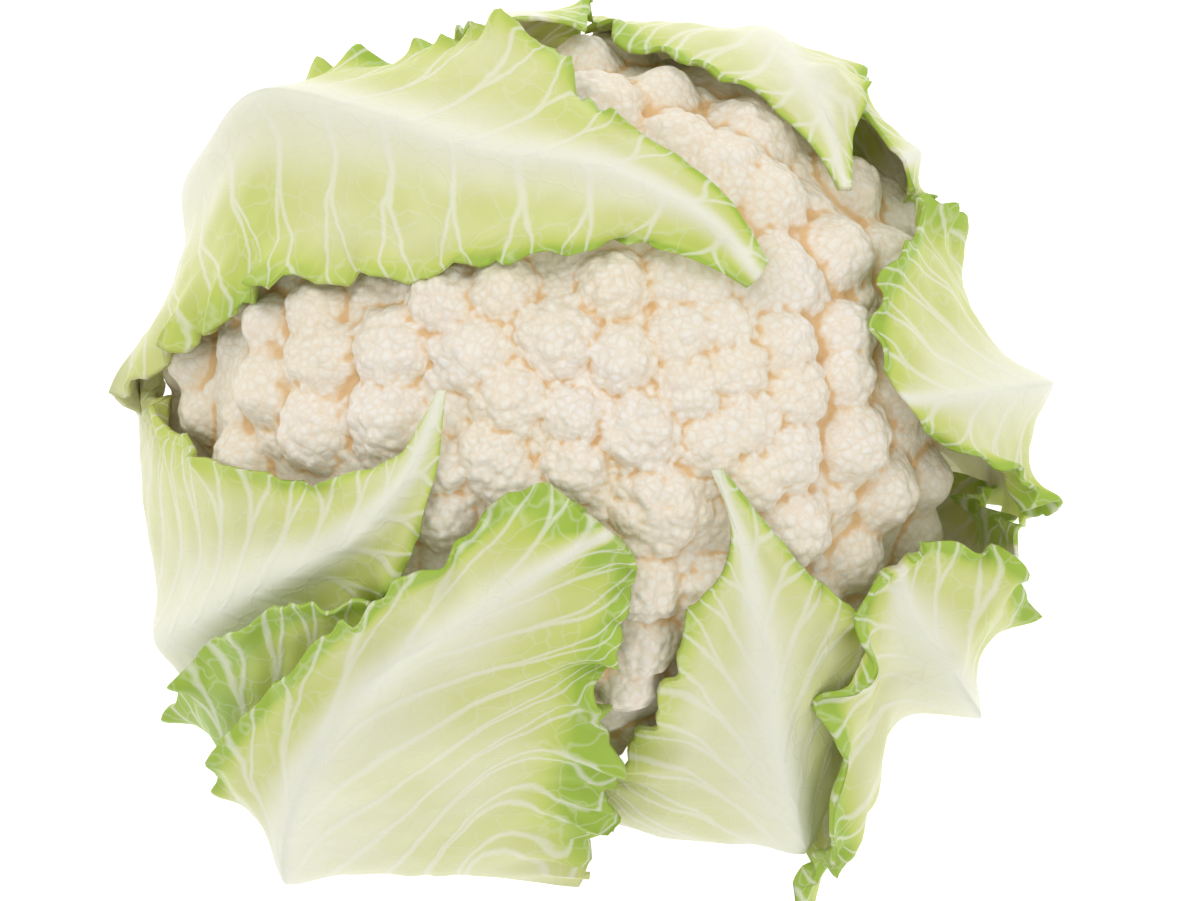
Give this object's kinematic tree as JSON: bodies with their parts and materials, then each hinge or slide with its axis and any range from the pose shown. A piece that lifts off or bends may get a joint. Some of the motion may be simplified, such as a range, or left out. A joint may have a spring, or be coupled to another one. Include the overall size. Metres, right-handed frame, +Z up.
{
  "type": "cauliflower",
  "caption": "Head of cauliflower with its wrapper leaves: a cream curd of rounded florets held by pale green veined leaves that fold over it, standing on a trimmed stump",
  "frame": {"origin": "the middle of the stump's cut face, on which the head stands", "axes": "Z up out of the cut face, through the head; X and Y are right and up as the head is seen from straight above, with the wide-ribbed leaf that crosses the head at -X +Y"},
  "size_m": [0.2098, 0.2052, 0.1478],
  "materials": {
    "curd": "cream-white plant tissue, dull and fine-grained",
    "stump": "pale green plant stem, freshly cut",
    "leaf": "fresh leaf, waxy, slightly see-through, with white ribs"
  },
  "bodies": {
    "root": {"curd": "curd", "stump": "stump", "leaf_left": "leaf", "leaf_front": "leaf", "leaf_back_right": "leaf", "leaf_top_right": "leaf", "leaf_right_small": "leaf", "leaf_front_left_low": "leaf", "leaf_top": "leaf", "leaf_right": "leaf", "leaf_front_right": "leaf", "leaf_top_left": "leaf", "leaf_front_left": "leaf"}
  },
  "joints": []
}
